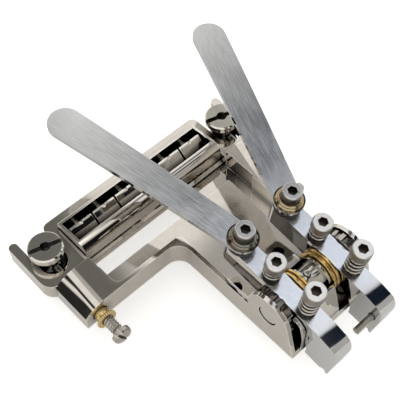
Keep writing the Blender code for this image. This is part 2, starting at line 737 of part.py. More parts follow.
def make_position_bush(side, y):
    """A brass threaded bush: its stem sits in the block and its collar stands behind."""
    bore = POSITION_SCREW_RADIUS + FIT_GAP
    neck = POSITION_NECK_LENGTH
    collar = neck + POSITION_COLLAR_LENGTH
    edge = SMALL_EDGE
    profile = [
        (bore, collar),
        (POSITION_COLLAR_RADIUS - edge, collar),
        (POSITION_COLLAR_RADIUS, collar - edge),
        (POSITION_COLLAR_RADIUS, neck + edge),
        (POSITION_COLLAR_RADIUS - edge, neck),
        (POSITION_BUSH_RADIUS, neck),
        (POSITION_BUSH_RADIUS, -POSITION_BUSH_SEAT),
        (bore, -POSITION_BUSH_SEAT),
    ]
    return turned("position_bush_" + side, profile, brass, position_matrix(y), ring=True)


def make_position_screw(side, y):
    """A slotted pan-head screw whose tip stands against the stud's waist."""
    seat = POSITION_NECK_LENGTH + POSITION_COLLAR_LENGTH + POSITION_STAND_OFF
    top = seat + POSITION_HEAD_LENGTH
    tip = STUD_WAIST_RADIUS + FIT_GAP - BLOCK_REAR
    turns = [math.radians(angle) for angle in (0, 30, 60, 90)]
    dome = [(POSITION_HEAD_RADIUS * math.sin(a), top - POSITION_HEAD_DOME * (1 - math.cos(a)))
            for a in turns]
    profile = [
        *dome,
        (POSITION_HEAD_RADIUS, seat),
        (POSITION_SCREW_RADIUS, seat),
        (POSITION_SCREW_RADIUS, tip),
        (0.0, tip),
    ]
    screw = turned("position_screw_" + side, profile, steel, position_matrix(y), steps=SMALL_STEPS)
    reach = POSITION_HEAD_RADIUS + OVERLAP
    slot = block("position_slot_" + side,
                 (-reach, -POSITION_SLOT_WIDTH / 2, top - POSITION_SLOT_DEPTH),
                 (reach, POSITION_SLOT_WIDTH / 2, top + OVERLAP))
    slot.data.transform(position_matrix(y) @ Matrix.Rotation(POSITION_SLOT_TURN, 4, "Z"))
    return shade(bake(cut(screw, slot)))


def lever_outline():
    """A lever seen from its near side: arm, boss, facet and the tail that drops behind."""
    facet = Vector((math.cos(LEVER_FACET_TURN), -math.sin(LEVER_FACET_TURN))) * LEVER_FACET_LENGTH
    knee = (LEVER_FLAT_END + facet.x, LEVER_TOP + facet.y)
    under = LEVER_TOP - LEVER_DEPTH
    boss_angle = math.asin(-under / LEVER_BOSS_RADIUS)
    boss = arc((0.0, 0.0), LEVER_BOSS_RADIUS, -math.pi + boss_angle, -BOSS_END)
    outer = [
        (LEVER_FLAT_END, LEVER_TOP),
        knee,
        *tail_round(knee, (TAIL_REAR, -TAIL_ROUND_END)),
        (TAIL_REAR - TAIL_TAPER, -TAIL_BOTTOM),
    ]
    return [
        (-LEVER_FRONT, LEVER_TOP),
        (-LEVER_FRONT, under + LEVER_NOSE_EDGE),
        (-LEVER_FRONT + LEVER_NOSE_EDGE, under),
        *boss,
        *tail_round(boss[-1], (TAIL_FRONT, TAIL_EDGE - TAIL_BOTTOM)),
        (TAIL_FRONT, -TAIL_BOTTOM),
        *reversed(outer),
    ]


def tail_round(start, end):
    """One smooth bend from level at its start to upright at its end, the start left out."""
    turns = [math.radians(angle) for angle in (18, 36, 54, 72, 90)]
    return [(start[0] + (end[0] - start[0]) * math.sin(a),
             start[1] + (end[1] - start[1]) * (1 - math.cos(a))) for a in turns]


def make_lever(side, y, inward):
    """An aluminium lever with bores for its bush, bolt, stop screws and string pin."""
    half = LEVER_WIDTH / 2
    bore = circle((0.0, 0.0), BUSH_RADIUS + FIT_GAP, ROUND_STEPS)
    lever = plate("lever_" + side, [lever_outline(), bore], -half, half, aluminium, "XZ")
    reach = TAIL_REAR + CUT_ROOM
    plan = rounded([(-LEVER_FRONT, -half, LEVER_NOSE_RADIUS), (reach, -half - CUT_ROOM, 0.0),
                    (reach, half + CUT_ROOM, 0.0), (-LEVER_FRONT, half, LEVER_NOSE_RADIUS)])
    combine(lever, plate("lever_%s_plan" % side, [plan], -TAIL_BOTTOM - CUT_ROOM,
                         LEVER_TOP + CUT_ROOM, None), "INTERSECT")
    under = LEVER_TOP - LEVER_DEPTH - CUT_ROOM
    deep = -LEVER_BOSS_RADIUS - CUT_ROOM
    for tag, u, low in (("bolt", BOLT_U, under), ("front", FRONT_STOP_U, deep),
                        ("rear", REAR_STOP_U, deep)):
        cut(lever, rod("lever_%s_%s_bore" % (side, tag), SHANK_CLEARANCE,
                       (u, 0.0, low), (u, 0.0, LEVER_TOP + OVERLAP), steps=16))
    face = inward * half
    cut(lever, rod("lever_%s_pin_bore" % side, PIN_RADIUS + FIT_GAP,
                   (PIN_U, face - inward * (PIN_SEAT + FIT_GAP), PIN_V),
                   (PIN_U, face + inward * OVERLAP, PIN_V), steps=16))
    cut(lever, rod("lever_%s_groove" % side, TAIL_GROOVE_RADIUS,
                   (TAIL_GROOVE_U, -half - OVERLAP, -TAIL_BOTTOM),
                   (TAIL_GROOVE_U, half + OVERLAP, -TAIL_BOTTOM), steps=12))
    bake(lever)
    lever.matrix_world = lever_matrix(y)
    return shade(lever)


def make_bush(side, y, inward):
    """A brass bush in the lever, with a grooved flange on the lever's inner side."""
    half = LEVER_WIDTH / 2
    seat = half + FIT_GAP
    rim = seat + BUSH_FLANGE_THICKNESS
    third = BUSH_FLANGE_THICKNESS / 3
    middle = (seat + rim) / 2
    groove = BUSH_FLANGE_RADIUS - BUSH_GROOVE_DEPTH
    profile = [
        (AXLE_BORE, rim),
        (BUSH_FLANGE_RADIUS, rim),
        (BUSH_FLANGE_RADIUS, rim - third),
        (groove, middle),
        (BUSH_FLANGE_RADIUS, seat + third),
        (BUSH_FLANGE_RADIUS, seat),
        (BUSH_RADIUS, seat),
        (BUSH_RADIUS, -half),
        (AXLE_BORE, -half),
    ]
    across = Matrix.Rotation(-inward * math.pi / 2, 4, "X")
    bush = turned("bush_" + side, profile, brass, across, ring=True)
    bush.location = (AXLE_X, y, AXLE_Z)
    return bush


def make_axle():
    start = NEAR_WALL_Y + FIT_GAP
    end = FAR_WALL_Y - FIT_GAP
    axle = rod("axle", AXLE_RADIUS, (0.0, start - LEVER_CENTER_Y, 0.0),
               (0.0, end - LEVER_CENTER_Y, 0.0), steel, ROUND_STEPS)
    axle.location = (AXLE_X, LEVER_CENTER_Y, AXLE_Z)
    return axle


def sleeve_half():
    return LEVER_SPACING / 2 - LEVER_WIDTH / 2 - BUSH_FLANGE_THICKNESS - 2 * FIT_GAP


def make_sleeve():
    """The polished sleeve that keeps the two levers apart on the axle."""
    half = sleeve_half()
    inner = half - SLEEVE_FLANGE_THICKNESS
    profile = [
        (AXLE_BORE, half),
        (SLEEVE_FLANGE_RADIUS, half),
        (SLEEVE_FLANGE_RADIUS, inner),
        (SLEEVE_RADIUS, inner),
        (SLEEVE_RADIUS, -inner),
        (SLEEVE_FLANGE_RADIUS, -inner),
        (SLEEVE_FLANGE_RADIUS, -half),
        (AXLE_BORE, -half),
    ]
    place = Matrix.Translation((AXLE_X, LEVER_CENTER_Y, AXLE_Z))
    across = Matrix.Rotation(-math.pi / 2, 4, "X")
    sleeve = turned("axle_sleeve", profile, steel, place @ across, ring=True)
    y = LEVER_CENTER_Y - inner / 2
    seat = rod("sleeve_screw_bore", SLEEVE_SCREW_RADIUS + FIT_GAP,
               (AXLE_X, y, AXLE_Z + AXLE_RADIUS), (AXLE_X, y, AXLE_Z + SLEEVE_FLANGE_RADIUS), steps=12)
    bake(cut(sleeve, seat))
    screw_foot = AXLE_Z + AXLE_RADIUS + FIT_GAP
    rod("sleeve_screw", SLEEVE_SCREW_RADIUS, (AXLE_X, y, screw_foot),
        (AXLE_X, y, screw_foot + SLEEVE_SCREW_LENGTH), steel, 12)
    return shade(sleeve)


def make_bearing(side, low, high):
    """A side bearing: a ring with a fluted rim between the side lug and the lever."""
    outline = []
    hollow = BEARING_RADIUS - BEARING_FLUTE_DEPTH
    shape = [(part, BEARING_RADIUS) for part in FLUTE_LAND]
    shape += [(part, hollow) for part in FLUTE_HOLLOW]
    for index in range(BEARING_FLUTES):
        for part, radius in shape:
            turn = 2 * math.pi * (index + part) / BEARING_FLUTES
            outline.append((AXLE_X + radius * math.cos(turn), AXLE_Z + radius * math.sin(turn)))
    bore = circle((AXLE_X, AXLE_Z), AXLE_BORE, ROUND_STEPS)
    return plate("side_bearing_" + side, [outline, bore], low, high, steel, "XZ")


def cap_screw_profile(seat, tip):
    top = seat + HEAD_HEIGHT
    return [
        (0.0, top),
        (HEAD_RADIUS - HEAD_EDGE, top),
        (HEAD_RADIUS, top - HEAD_EDGE),
        (HEAD_RADIUS, seat),
        (SCREW_RADIUS, seat),
        (SCREW_RADIUS, tip + HEAD_EDGE),
        (SCREW_RADIUS - HEAD_EDGE, tip),
        (0.0, tip),
    ]


def make_cap_screw(name, seat, tip, u, y):
    """A socket-head screw standing square on a lever's top face at u."""
    screw = turned(name, cap_screw_profile(seat, tip), steel, steps=SMALL_STEPS)
    shape = bmesh.new()
    bmesh.ops.create_cone(shape, cap_ends=True, segments=6, radius1=SOCKET_RADIUS,
                          radius2=SOCKET_RADIUS, depth=2 * SOCKET_DEPTH)
    mesh = bpy.data.meshes.new(name + "_socket")
    shape.to_mesh(mesh)
    shape.free()
    mesh.transform(Matrix.Translation((0.0, 0.0, seat + HEAD_HEIGHT)))
    bake(cut(screw, add_object(name + "_socket", mesh, parts)))
    screw.matrix_world = lever_matrix(y) @ Matrix.Translation((u, 0.0, 0.0))
    return shade(screw)


def front_stop_tip():
    """V of the front stop's tip: it nearly meets the floor with the lever fully pressed."""
    pressed = LEVER_TILT - PRESS_ANGLE
    height = FLOOR + STOP_GAP - AXLE_Z + FRONT_STOP_U * math.sin(pressed)
    return (height + SCREW_RADIUS * abs(math.sin(pressed))) / math.cos(pressed)


def rear_stop_tip():
    """V of the rear stop's tip: it nearly meets the floor with the lever at rest."""
    height = FLOOR + STOP_GAP - AXLE_Z + REAR_STOP_U * math.sin(LEVER_TILT)
    return (height + SCREW_RADIUS * math.sin(LEVER_TILT)) / math.cos(LEVER_TILT)


def spring_route(low, high):
    """A helix with its two ends lying nearly flat against their seats."""
    start = low + SPRING_WIRE_RADIUS
    end = high - SPRING_WIRE_RADIUS
    curls = max(2, round((end - start) / SPRING_PITCH))
    count = curls * SPRING_POINTS
    points = []
    for index in range(count + 1):
        turn = 2 * math.pi * index / SPRING_POINTS
        height = start + (end - start) * index / count
        points.append(Vector((SPRING_COIL_RADIUS * math.cos(turn),
                              SPRING_COIL_RADIUS * math.sin(turn), height)))
    return points


def least_gap(points, diameter):
    """The least gap between stretches of the wire that lie half a curl or more apart."""
    apart = SPRING_POINTS // 2
    least = min((points[i] - points[j]).length
                for i in range(len(points)) for j in range(i + apart, len(points)))
    return least - diameter


def make_spring(name, low, high, u, y):
    """A compression spring round a stop screw, one unbroken tube."""
    points = spring_route(low, high)
    gap = least_gap(points, 2 * SPRING_WIRE_RADIUS)
    print("%s: least gap between its curls %.2f mm" % (name, gap * 1000))
    curve = bpy.data.curves.new(name, "CURVE")
    curve.dimensions = "3D"
    curve.bevel_depth = SPRING_WIRE_RADIUS
    curve.bevel_resolution = 1
    curve.use_fill_caps = True
    spline = curve.splines.new("POLY")
    spline.points.add(len(points) - 1)
    for point, place in zip(spline.points, points):
        point.co = (*place, 1.0)
    curve.materials.append(steel)
    spring = bpy.data.objects.new(name, curve)
    parts.objects.link(spring)
    spring.matrix_world = lever_matrix(y) @ Matrix.Translation((u, 0.0, 0.0))
    return spring


def make_stops(side, y):
    for tag, u, lift, tip in (("front", FRONT_STOP_U, FRONT_STOP_LIFT, front_stop_tip()),
                              ("rear", REAR_STOP_U, REAR_STOP_LIFT, rear_stop_tip())):
        seat = LEVER_TOP + lift
        make_cap_screw("%s_stop_%s" % (tag, side), seat, tip, u, y)
        make_spring("%s_spring_%s" % (tag, side), LEVER_TOP + FIT_GAP, seat - FIT_GAP, u, y)


def washer_levels():
    """V of each seat in the stack under the handle bolt's head, from the lever upwards."""
    pad = LEVER_TOP + FIT_GAP
    lock = pad + PAD_THICKNESS + FIT_GAP
    handle = lock + LOCK_WASHER_THICKNESS + FIT_GAP
    cup = handle + HANDLE_THICKNESS + FIT_GAP
    head = cup + CUP_THICKNESS + FIT_GAP
    return pad, lock, handle, cup, head


def make_handle(side, y, swing):
    """A flat bar, wider towards its round tip, that eases off level as it runs forward."""
    level = washer_levels()[2]
    bore = circle((0.0, 0.0), SHANK_CLEARANCE, SMALL_STEPS)
    reach = HANDLE_LENGTH - HANDLE_TIP_RADIUS
    lean = math.asin((HANDLE_TIP_RADIUS - HANDLE_ROOT_RADIUS) / reach)
    tip = arc((-reach, 0.0), HANDLE_TIP_RADIUS, math.pi / 2 + lean, 3 * math.pi / 2 - lean)
    root = arc((0.0, 0.0), HANDLE_ROOT_RADIUS, -math.pi / 2 - lean, math.pi / 2 + lean)
    upper = [side_point(root[-1], tip[0], step) for step in range(1, HANDLE_SECTIONS)]
    lower = [side_point(tip[-1], root[0], step) for step in range(1, HANDLE_SECTIONS)]
    outline = [*root, *upper, *tip, *lower]
    handle = plate("handle_" + side, [outline, bore], level, level + HANDLE_THICKNESS, brushed)
    slice_across(handle.data, reach)
    bend(handle.data, level)
    handle.matrix_world = (lever_matrix(y) @ Matrix.Translation((BOLT_U, 0.0, 0.0))
                           @ Matrix.Rotation(swing, 4, "Z"))
    return shade(handle)


def side_point(start, end, step):
    share = step / HANDLE_SECTIONS
    return (start[0] + (end[0] - start[0]) * share, start[1] + (end[1] - start[1]) * share)


def slice_across(mesh, reach):
    """Adds straight rows of edges across the handle, so that it bends evenly."""
    shape = bmesh.new()
    shape.from_mesh(mesh)
    bmesh.ops.dissolve_limit(shape, angle_limit=math.radians(1.0), verts=shape.verts,
                             edges=shape.edges)
    for step in range(1, HANDLE_SECTIONS + 1):
        x = -HANDLE_ROOT_RADIUS - (reach - HANDLE_ROOT_RADIUS) * step / HANDLE_SECTIONS
        everything = [*shape.verts, *shape.edges, *shape.faces]
        bmesh.ops.bisect_plane(shape, geom=everything, plane_co=(x, 0, 0), plane_no=(1, 0, 0),
                               dist=TOLERANCE)
    bmesh.ops.triangulate(shape, faces=shape.faces)
    shape.to_mesh(mesh)
    shape.free()


def bend(mesh, level):
    """Bends the handle down along one long arc that starts past its round root."""
    start = HANDLE_ROOT_RADIUS
    radius = (HANDLE_LENGTH - start) / HANDLE_FALL
    for vertex in mesh.vertices:
        run = -vertex.co.x - start
        if run <= 0.0:
            continue
        angle = run / radius
        height = vertex.co.z - level
        vertex.co.x = -start - (radius + height) * math.sin(angle)
        vertex.co.z = level - radius + (radius + height) * math.cos(angle)


def make_bolt_stack(side, y):
    pad, lock, _, cup, head = washer_levels()
    bore = SCREW_RADIUS + FIT_GAP
    place = lever_matrix(y) @ Matrix.Translation((BOLT_U, 0.0, 0.0))
    make_cap_screw("handle_bolt_" + side, head, LEVER_TOP - BOLT_GRIP, BOLT_U, y)
    pad_top = pad + PAD_THICKNESS
    pad_profile = [(bore, pad_top), (PAD_RADIUS, pad_top), (PAD_RADIUS, pad), (bore, pad)]
    turned("handle_pad_" + side, pad_profile, dark, ring=True).matrix_world = place
    lock_top = lock + LOCK_WASHER_THICKNESS
    lock_profile = [(bore, lock_top), (LOCK_WASHER_RADIUS, lock_top), (LOCK_WASHER_RADIUS, lock),
                    (bore, lock)]
    washer = turned("lock_washer_" + side, lock_profile, steel, ring=True, steps=SMALL_STEPS)
    gap = LOCK_WASHER_SPLIT / 2
    cut(washer, block("lock_split_" + side, (0.0, -gap, lock - OVERLAP),
                      (2 * LOCK_WASHER_RADIUS, gap, lock_top + OVERLAP)))
    bake(washer).matrix_world = place
    cup_top = cup + CUP_THICKNESS
    cup_profile = [(bore, cup_top), (CUP_TOP_RADIUS, cup_top),
                   (CUP_TOP_RADIUS + CUP_EDGE, cup + CUP_RIM + CUP_EDGE), (CUP_RADIUS, cup + CUP_RIM),
                   (CUP_RADIUS, cup), (bore, cup)]
    turned("cup_washer_" + side, cup_profile, zinc, ring=True).matrix_world = place


def make_pin(side, y, inward, pin_reach):
    """The pin that holds the string's ball end, standing out of the tail's inner side."""
    face = inward * LEVER_WIDTH / 2
    pin = rod("string_pin_" + side, PIN_RADIUS, (PIN_U, face - inward * PIN_SEAT, PIN_V),
              (PIN_U, face + inward * pin_reach, PIN_V), steel, 16)
    pin.matrix_world = lever_matrix(y)
    return pin


def build():
    make_frame()
    make_bar()
    for index, y in enumerate(saddle_positions()):
        make_saddle(index, y)
        make_saddle_screw(index, y)
    for side, y in (("near", -STUD_Y), ("far", STUD_Y)):
        make_stud(side, y)
        make_position_bush(side, y)
        make_position_screw(side, y)
    make_axle()
    make_sleeve()
    lug_face = NEAR_WALL_Y + WALL + FIT_GAP
    lever_face = LEVER_CENTER_Y - LEVER_SPACING / 2 - LEVER_WIDTH / 2 - FIT_GAP
    make_bearing("near", lug_face, lever_face)
    make_bearing("far", *mirror_over_levers(lug_face, lever_face))
    near_y = LEVER_CENTER_Y - LEVER_SPACING / 2
    far_y = LEVER_CENTER_Y + LEVER_SPACING / 2
    for side, y, inward, swing in (("near", near_y, 1, NEAR_HANDLE_SWING),
                                   ("far", far_y, -1, -FAR_HANDLE_SWING)):
        make_lever(side, y, inward)
        make_bush(side, y, inward)
        make_stops(side, y)
        make_bolt_stack(side, y)
        make_handle(side, y, swing)
        make_pin(side, y, inward, NEAR_PIN_REACH if inward > 0 else FAR_PIN_REACH)


for old in list(bpy.data.objects):
    bpy.data.objects.remove(old)
parts = make_collection("string_bender")
cutters = make_collection("cutters", hidden=True)
nickel = make_material("polished_nickel", (0.52, 0.48, 0.44), 0.16, 1.0)
steel = make_material("steel", (0.62, 0.60, 0.58), 0.25, 1.0)
aluminium = make_material("polished_aluminium", (0.78, 0.79, 0.81), 0.20, 1.0)
brushed = make_material("brushed_aluminium", (0.66, 0.67, 0.68), 0.38, 1.0)
brass = make_material("brass", (0.78, 0.56, 0.22), 0.25, 1.0)
zinc = make_material("yellow_zinc", (0.70, 0.66, 0.52), 0.30, 1.0)
dark = make_material("dark_pad", (0.06, 0.06, 0.06), 0.60, 0.0)
build()
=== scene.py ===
"""Looks for the guitar string bender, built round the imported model."""
import math

import bmesh
import bpy
import numpy as np
from mathutils import Matrix, Vector


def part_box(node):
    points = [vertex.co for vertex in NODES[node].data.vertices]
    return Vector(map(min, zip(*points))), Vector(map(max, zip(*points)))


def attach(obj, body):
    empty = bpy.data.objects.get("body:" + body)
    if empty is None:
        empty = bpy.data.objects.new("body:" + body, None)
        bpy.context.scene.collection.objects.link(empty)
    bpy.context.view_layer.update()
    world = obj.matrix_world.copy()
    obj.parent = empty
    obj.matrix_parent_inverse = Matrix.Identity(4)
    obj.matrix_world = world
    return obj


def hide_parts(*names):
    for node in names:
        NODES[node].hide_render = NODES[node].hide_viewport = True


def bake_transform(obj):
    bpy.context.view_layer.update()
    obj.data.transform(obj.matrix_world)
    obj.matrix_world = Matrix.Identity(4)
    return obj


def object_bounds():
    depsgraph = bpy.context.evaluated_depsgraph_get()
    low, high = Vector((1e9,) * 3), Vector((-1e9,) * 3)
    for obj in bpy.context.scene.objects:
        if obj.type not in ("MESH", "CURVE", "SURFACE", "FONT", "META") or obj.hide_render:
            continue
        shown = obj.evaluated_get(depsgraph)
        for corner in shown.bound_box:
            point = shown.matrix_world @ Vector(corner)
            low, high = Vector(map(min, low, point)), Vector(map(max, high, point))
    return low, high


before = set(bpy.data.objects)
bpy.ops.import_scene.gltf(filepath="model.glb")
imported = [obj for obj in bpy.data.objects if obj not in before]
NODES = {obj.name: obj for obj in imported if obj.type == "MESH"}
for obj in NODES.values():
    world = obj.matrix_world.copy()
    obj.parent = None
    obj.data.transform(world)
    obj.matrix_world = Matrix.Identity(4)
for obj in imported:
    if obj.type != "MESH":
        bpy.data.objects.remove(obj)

CAD_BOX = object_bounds()
SIDES = ("near", "far")
STRINGS = range(1, 7)

# The levers stand at this angle at rest. Along their tops, square to them, and from side to side:
LEVER_TILT = math.radians(8.0)
LEVER_LONG_WAY = Vector((math.cos(LEVER_TILT), 0.0, -math.sin(LEVER_TILT)))
LEVER_TOP_WAY = Vector((math.sin(LEVER_TILT), 0.0, math.cos(LEVER_TILT)))
LEVER_SIDE_WAY = Vector((0.0, 1.0, 0.0))

# Camera, fitted to the photograph with the studs 82 mm apart.
CAMERA_AZIMUTH = math.radians(47.99)
CAMERA_ELEVATION = math.radians(55.52)
CAMERA_ROLL = math.radians(-1.33)
CAMERA_PLACE = Vector((0.1488, -0.1048, 0.2612))
IMAGE_WIDTH = 400
FOCAL_PIXELS = 872
SENSOR_WIDTH = 36.0
CLIP_START = 0.01
CLIP_END = 10.0


def rgb(red, green, blue):
    return (red, green, blue, 1.0)


def make_camera():
    """The camera stands where the photograph's did and keeps its small roll."""
    sin_a, cos_a = math.sin(CAMERA_AZIMUTH), math.cos(CAMERA_AZIMUTH)
    sin_e, cos_e = math.sin(CAMERA_ELEVATION), math.cos(CAMERA_ELEVATION)
    back = Vector((sin_a * cos_e, -cos_a * cos_e, sin_e))
    level = Vector((cos_a, sin_a, 0))
    upright = back.cross(level)
    right = level * math.cos(CAMERA_ROLL) + upright * math.sin(CAMERA_ROLL)
    up = back.cross(right)
    data = bpy.data.cameras.new("camera")
    data.sensor_width = SENSOR_WIDTH
    data.lens = FOCAL_PIXELS / IMAGE_WIDTH * SENSOR_WIDTH
    data.clip_start = CLIP_START
    data.clip_end = CLIP_END
    camera = bpy.data.objects.new("camera", data)
    turn = Matrix((right, up, back)).transposed()
    camera.matrix_world = Matrix.Translation(CAMERA_PLACE) @ turn.to_4x4()
    bpy.context.scene.collection.objects.link(camera)
    bpy.context.scene.camera = camera


# Shader helpers.

class Graph:
    """A material's or world's nodes, with short ways to add and join them."""

    def __init__(self, tree):
        self.tree = tree
        tree.nodes.clear()

    def add(self, kind, inputs=None, **settings):
        node = self.tree.nodes.new(kind)
        for key, value in settings.items():
            setattr(node, key, value)
        for key, value in (inputs or {}).items():
            if isinstance(value, bpy.types.NodeSocket):
                self.tree.links.new(value, node.inputs[key])
            else:
                node.inputs[key].default_value = value
        return node

    def math(self, operation, first, second=0.0):
        return self.add("ShaderNodeMath", {0: first, 1: second}, operation=operation).outputs[0]

    def vector(self, operation, first, second=None, scale=None):
        inputs = {0: first}
        if second is not None:
            inputs[1] = second
        if scale is not None:
            inputs["Scale"] = scale
        node = self.add("ShaderNodeVectorMath", inputs, operation=operation)
        return node.outputs["Value" if operation == "DOT_PRODUCT" else "Vector"]

    def ramp(self, value, low, high, to_low=0.0, to_high=1.0, smooth=False):
        node = self.add("ShaderNodeMapRange", {
            "Value": value, "From Min": low, "From Max": high, "To Min": to_low, "To Max": to_high},
            interpolation_type="SMOOTHSTEP" if smooth else "LINEAR")
        return node.outputs["Result"]

    def band(self, value, low, high, edge):
        """1 between low and high, 0 outside, with soft edges."""
        rise = self.ramp(value, low - edge, low + edge, smooth=True)
        fall = self.ramp(value, high - edge, high + edge, 1.0, 0.0, smooth=True)
        return self.math("MULTIPLY", rise, fall)

    def mix(self, factor, first, second):
        node = self.add("ShaderNodeMix", {0: factor, 6: first, 7: second}, data_type="RGBA")
        return node.outputs[2]

    def noise(self, place, scale, detail, **more):
        inputs = {"Vector": place, "Scale": scale, "Detail": detail, **more}
        return self.add("ShaderNodeTexNoise", inputs).outputs[0]

    def bump(self, height, strength, distance):
        inputs = {"Height": height, "Strength": strength, "Distance": distance}
        return self.add("ShaderNodeBump", inputs).outputs[0]

    def show(self, surface, kind="ShaderNodeOutputMaterial"):
        self.add(kind, {"Surface": surface})


def new_material(name):
    material = bpy.data.materials.new(name)
    material.use_nodes = True
    return material, Graph(material.node_tree)


# Values of the materials. Lengths are in metres and scales count in a metre. A pair of values says
# where an effect starts and where it is full, unless the line says something else.

NOISE_SPAN = (0.3, 0.7)         # nearly all of a noise lies between these

CREVICE_SAMPLES = 8
EDGE_SAMPLES = 6
EDGE_HIGHLIGHT_REACH = 0.0005              # how far the painted highlight along the edges reaches
EDGE_BEND = (0.01, 0.08)
# colour of the painted highlight along the edges
EDGE_HIGHLIGHT_COLOUR = rgb(0.98, 0.96, 0.92)

MARK_SCALE = 300.0              # duller, more worn patches
MARK_WORN = (0.35, 0.75)
MARK_DULL = (0.8, 1.2)          # shares of the roughness outside and inside a patch

TOP_FACING = (0.9965, 0.999)    # how squarely a face looks up or down where it is brushed
SCRATCH_CRISPNESS = 0.6
SCRATCH_SPREAD = 0.05           # how far the roughness varies between scratches
PATCH_SCALE = 120.0
PATCH_SPREAD = 0.03             # and between broad patches
BRUSH_ANISOTROPY = 0.3
SIDE_ROUGHNESS = 0.06
SIDE_RELIEF = 0.15

KNURL_GRAIN = 900.0
KNURL_GRAIN_SHARE = 0.3
KNURL_WORN = (-1.0, 0.2)
# how far the painted shade on the knurled brass looks, and where it starts and ends
KNURL_CREVICE = {"reach": 0.002, "closed_at": 0.25, "open_at": 0.8}

HEAD_TEETH = 52.0
HEAD_TOOTH_DEPTH = 0.00004
HEAD_TOP = (0.55, 0.9)          # how squarely a face looks up where the side ends and the top begins
HEAD_GRAIN = 2500.0
HEAD_RELIEF = (0.8, 0.12)       # on the side and on the top
HEAD_CUT = (0.45, 1.0)          # shares of the side's colour between the teeth and on them
HEAD_SATIN = (0.85, 1.0)        # shares of the top's colour over its grain
# the painted shade in the socket: how far it looks, where it starts and ends, and the share of dark it
# takes
HEAD_CREVICE = {"reach": 0.003, "closed_at": 0.45, "open_at": 0.92}
SOCKET_SHARE = 0.6

MATT_RELIEF = 0.6
MATT_DEPTH = 0.1                # as a share of the grain's size

# Plated and turned metals. wave_size and wave_height are those of the faint waves that buffing leaves.
# A surface that is closed in, looking as far as reach, gets painted shade and keeps only the share
# closed of its worn colour: fully where it is open by closed_at or less, and not at all from open_at on.
METALS = {
    "nickel": dict(
        colour=rgb(0.62, 0.58, 0.53), worn=rgb(0.58, 0.54, 0.49), roughness=0.05, wave_size=0.02,
        wave_height=0.00001, reach=0.004, closed=0.10, closed_at=0.3, open_at=0.85, edge_highlight=True),
    "bar_nickel": dict(
        colour=rgb(0.64, 0.60, 0.55), worn=rgb(0.60, 0.55, 0.49), roughness=0.05, wave_size=0.02,
        wave_height=0.00001, reach=0.007, closed=0.25, closed_at=0.35, open_at=0.85, edge_highlight=True),
    "stud_plate": dict(
        colour=rgb(0.66, 0.63, 0.58), worn=rgb(0.60, 0.57, 0.52), roughness=0.07, wave_size=0.01,
        wave_height=0.00001, reach=0.004, closed=0.06, closed_at=0.4, open_at=0.9),
    "spring_wire": dict(
        colour=rgb(0.50, 0.47, 0.43), worn=rgb(0.40, 0.37, 0.33), roughness=0.16, wave_size=0.004,
        wave_height=0.00001, reach=0.004, closed=0.06, closed_at=0.25, open_at=0.9),
    "turned_brass": dict(
        colour=rgb(0.70, 0.49, 0.19), worn=rgb(0.56, 0.37, 0.13), roughness=0.16, wave_size=0.004,
        wave_height=0.00001, reach=0.003, closed=0.2, closed_at=0.3, open_at=0.9),
    "grey_zinc": dict(
        colour=rgb(0.20, 0.23, 0.20), worn=rgb(0.23, 0.16, 0.12), roughness=0.10, wave_size=0.003,
        wave_height=0.00002, reach=0.003, closed=0.15, closed_at=0.3, open_at=0.9),
    "yellow_zinc": dict(
        colour=rgb(0.46, 0.36, 0.22), worn=rgb(0.34, 0.26, 0.18), roughness=0.10, wave_size=0.003,
        wave_height=0.00002, reach=0.003, closed=0.15, closed_at=0.3, open_at=0.9),
    "bearing_steel": dict(
        colour=rgb(0.62, 0.60, 0.55), worn=rgb(0.50, 0.47, 0.42), roughness=0.10, wave_size=0.006,
        wave_height=0.00001, reach=0.002, closed=0.4, closed_at=0.25, open_at=0.8),
    "toothed_steel": dict(
        colour=rgb(0.50, 0.47, 0.43), worn=rgb(0.40, 0.37, 0.33), roughness=0.12, wave_size=0.006,
        wave_height=0.00001, reach=0.005, closed=0.08, closed_at=0.4, open_at=0.9),
    "saddle_steel": dict(
        colour=rgb(0.70, 0.67, 0.62), worn=rgb(0.62, 0.58, 0.52), roughness=0.08, wave_size=0.004,
        wave_height=0.00001, reach=0.008, closed=0.06, closed_at=0.40, open_at=0.80, edge_highlight=True),
    "saddle_screw_steel": dict(
        colour=rgb(0.86, 0.83, 0.78), worn=rgb(0.78, 0.74, 0.68), roughness=0.14, wave_size=0.008,
        wave_height=0.00001, reach=0.002, closed=0.5, closed_at=0.25, open_at=0.8),
}
CUP_METAL = {"near": "grey_zinc", "far": "yellow_zinc"}

# Brushed metal. grain, depth and stretch are the width and depth of its scratches, and how many times
# as long as wide they are.
# The sides' colour paints the sides darker than the top: painted shade.
BRUSHED_LEVER = dict(
    colour=rgb(0.94, 0.94, 0.95), dark=rgb(0.74, 0.76, 0.79), sides=rgb(0.60, 0.60, 0.60),
    roughness=0.20, grain=0.0002, depth=0.0000015, stretch=80.0)
BRUSHED_HANDLE = dict(
    colour=rgb(0.80, 0.80, 0.79), dark=rgb(0.60, 0.60, 0.60), sides=rgb(0.48, 0.48, 0.47),
    roughness=0.20, grain=0.00015, depth=0.000001, stretch=50.0)

# The brass bushes with teeth round them, cut between two radii. dark is the painted shade where the
# surface is closed in.
KNURLED_BRASS = dict(
    colour=rgb(0.86, 0.66, 0.32), worn=rgb(0.50, 0.33, 0.11), dark=rgb(0.10, 0.06, 0.02),
    roughness=0.16, teeth=30.0, depth=0.00018, inner=0.0028, outer=0.0034)

